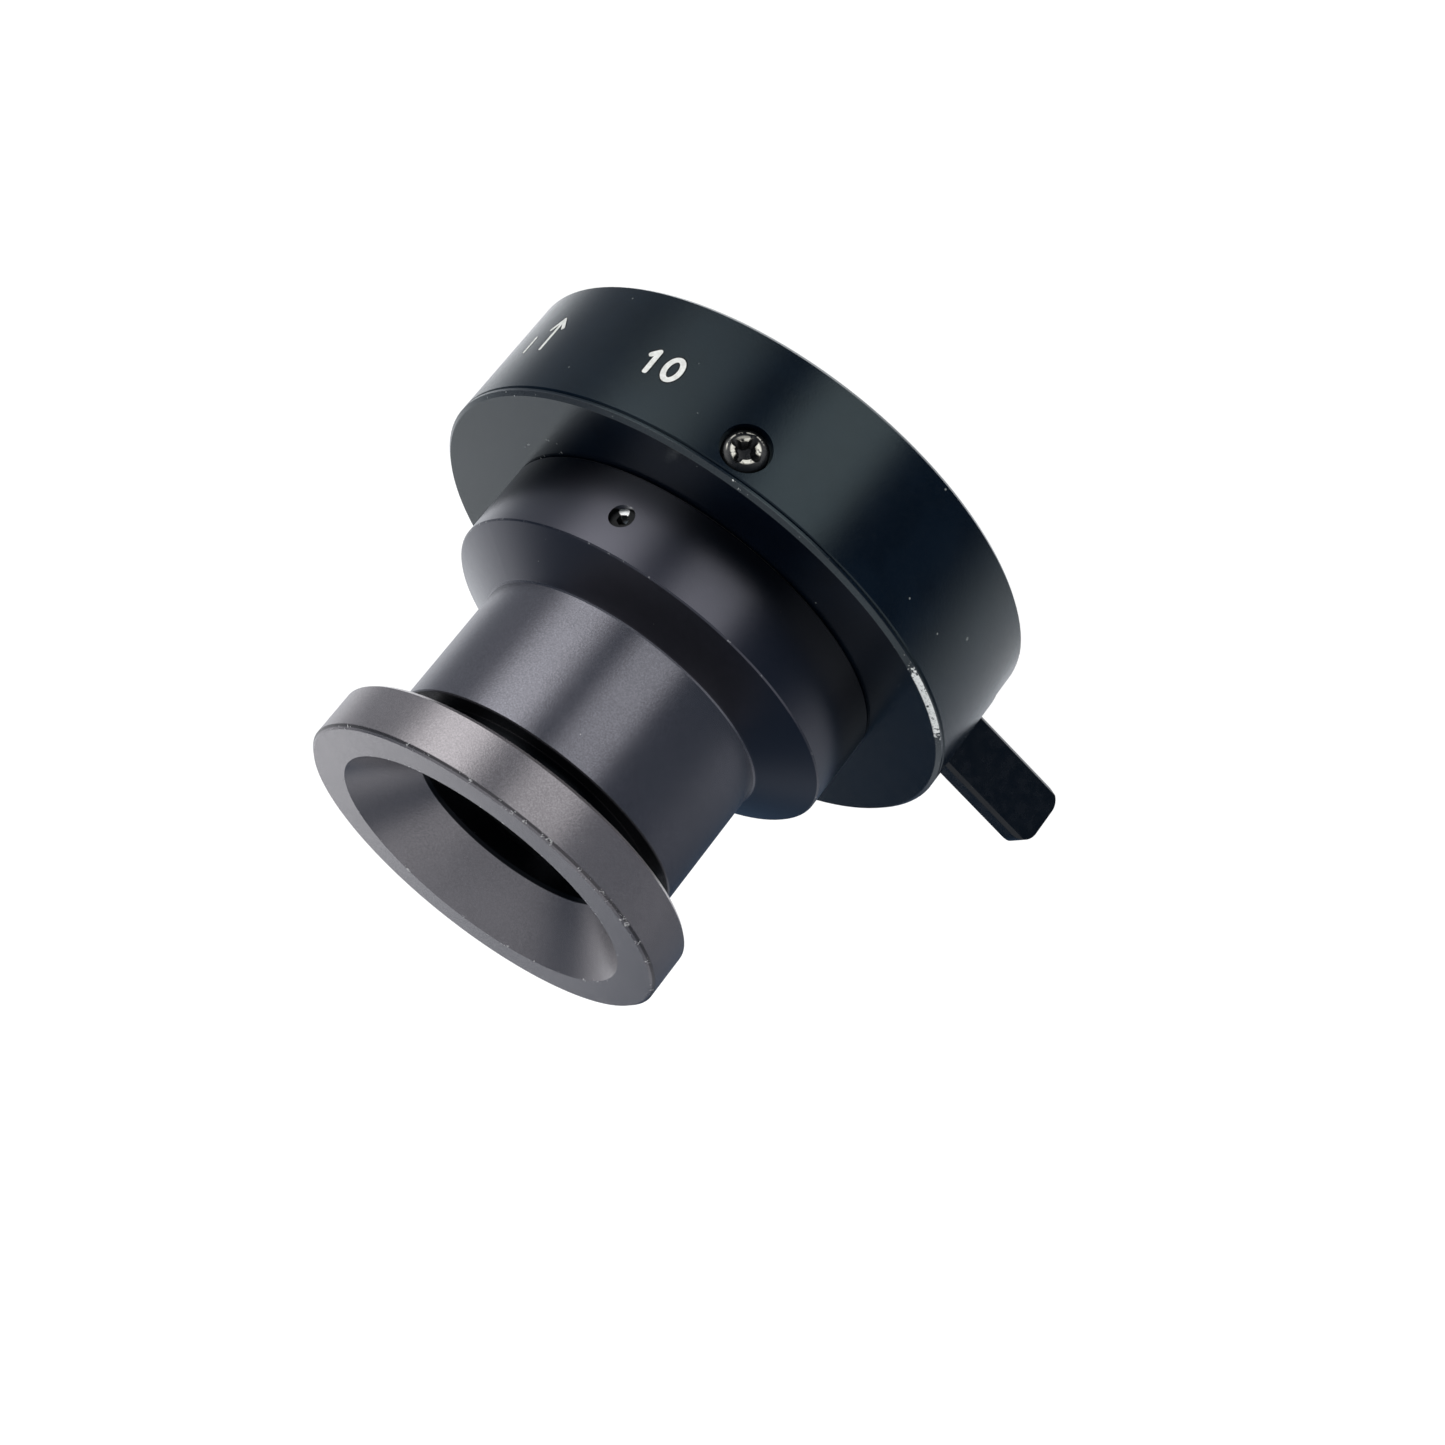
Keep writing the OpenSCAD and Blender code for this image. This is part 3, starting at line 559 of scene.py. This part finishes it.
def round_screw(g, azimuth, z):
    """Distance from the axis of the nearest of three radial screws, with the two ways across it."""
    turned = g.angle_from(g.place, azimuth)
    third = {0: turned, 1: 60.0, 2: -60.0}
    folded = g.add("ShaderNodeMath", third, operation="WRAP").outputs[0]
    across = g.times(g.radius(), g.math("SINE", g.times(folded, math.pi / 180)))
    along = g.minus(g.axis(g.place, "Z"), z)
    away = g.math("SQRT", g.plus(g.times(across, across), g.times(along, along)))
    return away, across, along


HEAD_BLACK = (0.0008, 0.001, 0.0012)
HEAD_GREY = (0.004, 0.0045, 0.005)
HEAD_WORN_AND_GLINT = (0.86, 0.84, 0.74)
LIP_RING = (0.7, 0.8, 1.04, 1.2)
ARM_END_RING = (1.33, 1.37, 1.43, 1.47)


def driven_steel():
    """Oiled black oxide, rubbed bright by the driver on the lips of the recess, with painted glints there
    on set sides of the head.
    """
    g = Graph("driven_steel")
    grain = g.noise(per_mm=14, detail=2.5)
    patch = g.noise(per_mm=2.6, detail=3.0, roughness=0.6)
    away, across, along = round_screw(g, SCREW_ANGLES[0], SCREW_Z)
    # side picks the sides of the head that get the painted glints.
    side = g.minus(across, along)
    lips = g.times(g.window(away, LIP_RING), g.smooth(patch, 0.36, 0.5),
                   g.smooth(side, 1.15, 1.3, 1, 0.35))
    ends = g.times(g.window(away, ARM_END_RING), g.smooth(patch, 0.42, 0.56),
                   g.smooth(side, 0.1, 0.9, 0, 0.7))
    top = g.smooth(g.radius(), DRUM_R - 0.42, DRUM_R - 0.34)
    # Driver wear and painted glints on the recess.
    worn = g.times(g.most(lips, ends), top)
    colour = g.mix(worn, g.mix(grain, HEAD_BLACK, HEAD_GREY), HEAD_WORN_AND_GLINT)
    g.principled(Base_Color=colour, Metallic=g.times(worn, 0.45),
                 Roughness=g.smooth(patch, 0.3, 0.7, 0.24, 0.4), Normal=g.bump(grain, depth_mm=0.005))
    return g.material


SOCKET_BLACK_AND_SHADE = (0.001, 0.0012, 0.0014)
SOCKET_GREY = (0.004, 0.0045, 0.005)
SOCKET_GLINT = (0.9, 0.9, 0.88)
PATCH_ACROSS, PATCH_ALONG = 0.3, -0.62
PATCH_HALF_W, PATCH_HALF_H = 0.45, 0.36


def set_screw_steel():
    """Black oxide, made darker as painted shade deep in its hole, with one painted glint patch on the
    socket's rim.
    """
    g = Graph("set_screw_steel")
    grain = g.noise(per_mm=14, detail=2.5)
    across, along = round_screw(g, SET_SCREW_AZIMUTH, SET_SCREW_Z)[1:]
    wide = g.math("DIVIDE", g.minus(across, PATCH_ACROSS), PATCH_HALF_W)
    tall = g.math("DIVIDE", g.minus(along, PATCH_ALONG), PATCH_HALF_H)
    oval = g.plus(g.times(wide, wide), g.times(tall, tall))
    ragged = g.plus(oval, g.times(g.noise(per_mm=3, detail=3.0), 0.8))
    # bare marks the painted glint patch.
    bare = g.smooth(ragged, 1.45, 1.15)
    # Painted shade on the screw in its hole, and the painted glint.
    colour = g.mix(bare, g.mix(grain, SOCKET_BLACK_AND_SHADE, SOCKET_GREY), SOCKET_GLINT)
    shader = g.principled(Base_Color=colour, Metallic=bare, Roughness=g.smooth(grain, 0.3, 0.7, 0.3, 0.45),
                          Normal=g.bump(grain, depth_mm=0.005))
    shader.inputs["Specular IOR Level"].default_value = 0.2
    return g.material


STEEL = (0.42, 0.42, 0.43)
STEEL_GROUND = (0.62, 0.62, 0.61)
STEEL_EDGE = (0.8, 0.8, 0.78)


def jaw_steel():
    """Ground steel, with fine grinding lines and grease smears."""
    g = Graph("jaw_steel")
    stretched = g.vector("MULTIPLY", g.place, (1, 1, 14))
    lines = g.noise(per_mm=3, detail=3.0, roughness=0.6, place=stretched)
    smear = g.noise(per_mm=0.7, detail=3.0)
    colour = g.mix(lines, STEEL, STEEL_GROUND)
    colour = g.mix(g.times(g.corner_wear(0.1), 0.5), colour, STEEL_EDGE)
    g.principled(Base_Color=colour, Metallic=1.0, Roughness=g.smooth(smear, 0.3, 0.7, 0.22, 0.4),
                 Normal=g.bump(lines, depth_mm=0.006, normal=g.soft_edges(0.06)))
    return g.material


BRONZE = (0.62, 0.42, 0.2)
BRONZE_TARNISHED = (0.33, 0.2, 0.1)


def washer_bronze():
    """Rolled bronze shim, tarnished in patches."""
    g = Graph("washer_bronze")
    stretched = g.vector("MULTIPLY", g.place, (1, 9, 1))
    lines = g.noise(per_mm=4, detail=2.0, place=stretched)
    tarnish = g.noise(per_mm=0.6, detail=4.0, roughness=0.6)
    colour = g.mix(g.smooth(tarnish, 0.4, 0.65), BRONZE, BRONZE_TARNISHED)
    g.principled(Base_Color=colour, Metallic=1.0, Roughness=g.smooth(tarnish, 0.3, 0.7, 0.25, 0.45),
                 Normal=g.bump(lines, depth_mm=0.004))
    return g.material


RUBBER = (0.012, 0.012, 0.012)
RUBBER_BLOOM = (0.05, 0.05, 0.048)


def seal_rubber():
    """Moulded black rubber with a dry bloom."""
    g = Graph("seal_rubber")
    bloom = g.noise(per_mm=1.5, detail=4.0, roughness=0.6)
    grain = g.noise(per_mm=16, detail=2.0)
    colour = g.mix(g.smooth(bloom, 0.45, 0.75), RUBBER, RUBBER_BLOOM)
    g.principled(Base_Color=colour, Roughness=g.smooth(bloom, 0.3, 0.7, 0.5, 0.75),
                 Normal=g.bump(grain, depth_mm=0.006))
    return g.material


GLASS_TINT = (0.97, 0.99, 0.985)
GLASS_DUST = (0.6, 0.6, 0.58)


def optical_glass():
    """Coated glass, very clear, with a little dust and haze."""
    g = Graph("optical_glass")
    dust = g.specks(per_mm=1.1, size=0.04, share=0.25)
    haze = g.noise(per_mm=0.8, detail=3.0)
    matt = g.plus(g.times(dust, 0.3), g.smooth(haze, 0.5, 0.9, to_high=0.03))
    shader = g.principled(Base_Color=g.mix(dust, GLASS_TINT, GLASS_DUST), Roughness=matt)
    shader.inputs["Transmission Weight"].default_value = 1.0
    shader.inputs["IOR"].default_value = 1.52
    shader.inputs["Specular IOR Level"].default_value = 0.08
    return g.material


PAINT_WHITE = (0.80, 0.81, 0.78)
PAINT_AGED = (0.62, 0.63, 0.60)


def mark_paint():
    """White paint, slightly aged and uneven."""
    g = Graph("mark_paint")
    patch = g.noise(per_mm=2.5, detail=4.0, roughness=0.65)
    brushed = g.noise(per_mm=9, detail=3.0)
    colour = g.mix(g.smooth(patch, 0.35, 0.7), PAINT_WHITE, PAINT_AGED)
    g.principled(Base_Color=colour, Roughness=g.smooth(patch, 0.3, 0.7, 0.45, 0.65),
                 Normal=g.bump(brushed, depth_mm=0.012))
    return g.material


GROOVE_SHADE = (0.0004, 0.0006, 0.0009)
GROOVE_SHADE_GREY = (0.003, 0.0035, 0.004)


def groove_shade():
    """Painted shade for the dark edge that an engraved mark shows round its paint."""
    g = Graph("groove_shade")
    grain = g.noise(per_mm=12, detail=3.0)
    colour = g.mix(grain, GROOVE_SHADE, GROOVE_SHADE_GREY)
    shader = g.principled(Base_Color=colour, Roughness=g.smooth(grain, 0.2, 0.8, 0.5, 0.8),
                          Normal=g.bump(grain, depth_mm=0.01))
    shader.inputs["Specular IOR Level"].default_value = 0.15
    return g.material


SLOT_MATERIALS = {
    "black_anodise": black_anodise,
    "matt_black_anodise": matt_black_anodise,
    "lever_black": lever_black,
    "blackened_steel": blackened_steel,
    "jaw_steel": jaw_steel,
    "washer_bronze": washer_bronze,
    "seal_rubber": seal_rubber,
    "optical_glass": optical_glass,
}


def paint_nodes():
    """Gives every CAD node its own material, or else the material of its slot in the record."""
    made = {slot: build() for slot, build in SLOT_MATERIALS.items()}
    made["eyecup"] = bronze_grey_anodise("eyecup_anodise", EYECUP_DYE, metal=0.8, rough=0.215)
    made["set_screws"] = set_screw_steel()
    made["barrel"] = bronze_grey_anodise("barrel_anodise", BARREL_DYE, metal=0.9, rough=0.21)
    for part in frame["record"]["subparts"]:
        name = part["node"]
        mesh = nodes[name].data
        mesh.materials.clear()
        mesh.materials.append(made.get(name) or made[part["material_slot"]])


# ---------------------------------------------------------------- marks on the drum

# Millimetres, but for the shares, which are parts of half a stroke's width
MARK_LIFT = 0.025
GROOVE_LIFT = 0.004
# GROOVE_SHARE sets the outer band of each stroke, which carries the painted groove shade.
GROOVE_SHARE = 1.4
STROKE_SHARES = (-GROOVE_SHARE, -1, -0.8, -0.35, 0.35, 0.8, 1, GROOVE_SHARE)
CAP_STEPS = 4


def on_drum(azimuth, across, height, lift):
    """A point on the drum's side, across millimetres round from an azimuth, lifted off it."""
    t = math.radians(azimuth) - across / DRUM_R
    r = DRUM_R + lift
    return Vector((r * math.cos(t), r * math.sin(t), height)) * MM


def add_stroke(bm, azimuth, middle_z, path, width):
    """A painted stroke with round ends along (across, along) points, crowned like filled engraving."""
    points = [Vector(p) for p in path]
    closed = (points[0] - points[-1]).length < TINY
    half = width / 2
    rows = []
    for i, point in enumerate(points):
        before = points[i - 1] if i else (points[-2] if closed else point)
        after = points[i + 1] if i + 1 < len(points) else (points[1] if closed else point)
        way = (after - before).normalized()
        rows.append((point, way, half))
    if not closed:
        cap = [math.pi / 2 * k / CAP_STEPS for k in range(1, CAP_STEPS)]
        first, last = rows[0], rows[-1]
        start = [(first[0] - first[1] * half * math.sin(t), first[1], half * math.cos(t)) for t in cap]
        end = [(last[0] + last[1] * half * math.sin(t), last[1], half * math.cos(t)) for t in cap]
        rows = start[::-1] + rows + end
    grid = []
    for point, way, reach in rows:
        side = Vector((way.y, -way.x))
        line = []
        for share in STROKE_SHARES:
            place = point + side * reach * share
            lift = GROOVE_LIFT + MARK_LIFT * max(0, 1 - share * share)
            line.append(bm.verts.new(on_drum(azimuth, place.x, middle_z + place.y, lift)))
        grid.append(line)
    columns = len(STROKE_SHARES) - 1
    for a, b in zip(grid, grid[1:]):
        for i in range(columns):
            face = bm.faces.new((a[i], a[i + 1], b[i + 1], b[i]))
            # The outermost band on each side of a stroke takes material 1, the painted groove shade.
            face.material_index = 1 if i in (0, columns - 1) else 0


def ellipse(centre_x, centre_y, half_w, half_h, steps=40):
    turns = [2 * math.pi * i / steps for i in range(steps + 1)]
    return [(centre_x + half_w * math.cos(t), centre_y + half_h * math.sin(t)) for t in turns]


def straight(a, b, steps=6):
    a, b = Vector(a), Vector(b)
    return [tuple(a.lerp(b, i / steps)) for i in range(steps + 1)]


NUMBER_AZIMUTH = -38.9
NUMBER_Z = 6.3
NUMBER_STROKE = 0.46
INDEX_AZIMUTH = -5.0
INDEX_Z = 5.4
INDEX_STROKE = 0.38


def make_marks(paint, groove):
    """A plain number and an index arrow, read with the eyepiece end down."""
    strokes = {
        "drum_number": (NUMBER_AZIMUTH, NUMBER_Z, NUMBER_STROKE, [
            straight((-1.05, 0.98), (-1.05, -0.98)),
            straight((-1.05, -0.98), (-1.55, -0.55)),
            ellipse(0.85, 0, 0.62, 0.98),
        ]),
        "drum_index": (INDEX_AZIMUTH, INDEX_Z, INDEX_STROKE, [
            straight((0.9, 1.6), (0.9, -1.6)),
            straight((0.9, -1.6), (0.1, -0.6)),
            straight((0.9, -1.6), (1.7, -0.6)),
            straight((-1.6, 1.6), (-1.6, 0.1)),
        ]),
    }
    for name, (azimuth, middle_z, width, paths) in strokes.items():
        bm = bmesh.new()
        for path in paths:
            add_stroke(bm, azimuth, middle_z, path, width)
        bmesh.ops.recalc_face_normals(bm, faces=bm.faces)
        mesh = bpy.data.meshes.new(name)
        bm.to_mesh(mesh)
        bm.free()
        mesh.shade_smooth()
        mesh.materials.append(paint)
        mesh.materials.append(groove)
        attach(new_object(name, mesh), "housing")


# ---------------------------------------------------------------- screws in the drum

# Lengths in millimetres and angles in degrees. The recess is a cross with ARM_ sizes on a round core.
HEAD_R = 1.8
HEAD_SEAT = 1.0
HEAD_RIM = 0.34
HEAD_H = 0.8
SHANK_R = 1.0
SHANK_LEN = 3.2
ARM_REACH = 1.36
ARM_HALF = 0.36
CORE_R = 0.84
RECESS_DEPTH = 0.95
RECESS_TAPER = 0.5
HEAD_ROLL = -5
ROLL_STEP = 37
TIP_CHAMFER = 0.2
SEAT_CHAMFER = 0.06
DOME_FULLNESS = 0.55
DOME_STEPS = 8
ARM_STEPS = 6
CORE_STEPS = 4
CUT_ABOVE = 0.3
BROKEN_EDGE = 0.045
BROKEN_FROM = 35
SHARP_FROM = 40
SCREW_SEGMENTS = 64


def screw_profile():
    """Half of a pan head and its shank, from the tip to the crown, in metres."""
    dome = [
        (HEAD_R * math.cos(t) ** DOME_FULLNESS, HEAD_RIM + (HEAD_H - HEAD_RIM) * math.sin(t))
        for t in [math.pi / 2 * i / DOME_STEPS for i in range(DOME_STEPS)]
    ]
    tip = [(0, -SHANK_LEN), (SHANK_R - TIP_CHAMFER, -SHANK_LEN), (SHANK_R, TIP_CHAMFER - SHANK_LEN)]
    seat = [(SHANK_R, 0), (HEAD_R - SEAT_CHAMFER, 0), (HEAD_R, SEAT_CHAMFER)]
    points = [*tip, *seat, *dome, (0, HEAD_H)]
    return [(r * MM, z * MM) for r, z in points]


def recess_outline():
    """A cross with round arm ends on a round core, as (x, y) points in millimetres."""
    start = math.asin(ARM_HALF / CORE_R)
    sweep = math.pi / 2 - 2 * start
    end_turns = [math.pi * (i / ARM_STEPS - 0.5) for i in range(ARM_STEPS + 1)]
    core_turns = [start + sweep * i / CORE_STEPS for i in range(CORE_STEPS + 1)]
    arm = [(ARM_REACH - ARM_HALF + ARM_HALF * math.cos(t), ARM_HALF * math.sin(t)) for t in end_turns]
    core = [(CORE_R * math.cos(t), CORE_R * math.sin(t)) for t in core_turns]
    points = []
    for quarter in range(4):
        turn = quarter * math.pi / 2
        points += [(x * math.cos(turn) - y * math.sin(turn), x * math.sin(turn) + y * math.cos(turn))
                   for x, y in arm + core]
    return points


def recess_mesh():
    """The tool that cuts the recess: the outline, narrowing towards the bottom."""
    bm = bmesh.new()
    top_scale = 1 + (1 - RECESS_TAPER) * CUT_ABOVE / RECESS_DEPTH
    levels = [(HEAD_H + CUT_ABOVE, top_scale), (HEAD_H - RECESS_DEPTH, RECESS_TAPER)]
    rings = [[bm.verts.new((x * scale * MM, y * scale * MM, z * MM)) for x, y in recess_outline()]
             for z, scale in levels]
    top, bottom = rings
    bm.faces.new(top)
    bm.faces.new(bottom[::-1])
    for i, vertex in enumerate(top):
        j = (i + 1) % len(top)
        bm.faces.new((vertex, bottom[i], bottom[j], top[j]))
    bmesh.ops.recalc_face_normals(bm, faces=bm.faces)
    mesh = bpy.data.meshes.new("recess")
    bm.to_mesh(mesh)
    bm.free()
    return mesh


def screw_mesh():
    """One pan-head screw with its cross recess and softly broken edges."""
    blank = new_object("screw_blank", spin_mesh("screw_blank", screw_profile(), SCREW_SEGMENTS))
    cutter = new_object("screw_recess", recess_mesh())
    cut = blank.modifiers.new("recess", "BOOLEAN")
    cut.object = cutter
    cut.operation = "DIFFERENCE"
    cut.solver = "EXACT"
    broken = blank.modifiers.new("broken_edges", "BEVEL")
    broken.width = BROKEN_EDGE * MM
    broken.segments = 2
    broken.limit_method = "ANGLE"
    broken.angle_limit = math.radians(BROKEN_FROM)
    bpy.context.view_layer.update()
    finished = blank.evaluated_get(bpy.context.evaluated_depsgraph_get())
    mesh = bpy.data.meshes.new_from_object(finished)
    bpy.data.objects.remove(blank)
    bpy.data.objects.remove(cutter)
    return mesh


def make_sleeve_screws(material):
    """The three screws that hold the sleeve on the housing, in one piece of three solids."""
    one = screw_mesh()
    bm = bmesh.new()
    for i, azimuth in enumerate(SCREW_ANGLES):
        start = len(bm.verts)
        bm.from_mesh(one)
        bm.verts.ensure_lookup_table()
        roll = Matrix.Rotation(math.radians(HEAD_ROLL + ROLL_STEP * i), 4, "Z")
        out = Matrix.Rotation(math.radians(90), 4, "Y")
        round_axis = Matrix.Rotation(math.radians(azimuth), 4, "Z")
        shift = Matrix.Translation(Vector((DRUM_R - HEAD_SEAT, 0, SCREW_Z)) * MM)
        bmesh.ops.transform(bm, matrix=round_axis @ shift @ out @ roll, verts=bm.verts[start:])
    mesh = bpy.data.meshes.new("sleeve_screws_fine")
    bm.to_mesh(mesh)
    bm.free()
    mesh.shade_smooth()
    mesh.set_sharp_from_angle(angle=math.radians(SHARP_FROM))
    mesh.materials.append(material)
    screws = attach(new_object("sleeve_screws_fine", mesh), "housing")
    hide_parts("sleeve_screws")


# ---------------------------------------------------------------- put together

make_camera()
make_surroundings()
make_world()
paint_nodes()
make_marks(mark_paint(), groove_shade())
make_sleeve_screws(driven_steel())

bpy.context.scene.view_settings.view_transform = "Standard"
bpy.context.scene.view_settings.look = "None"
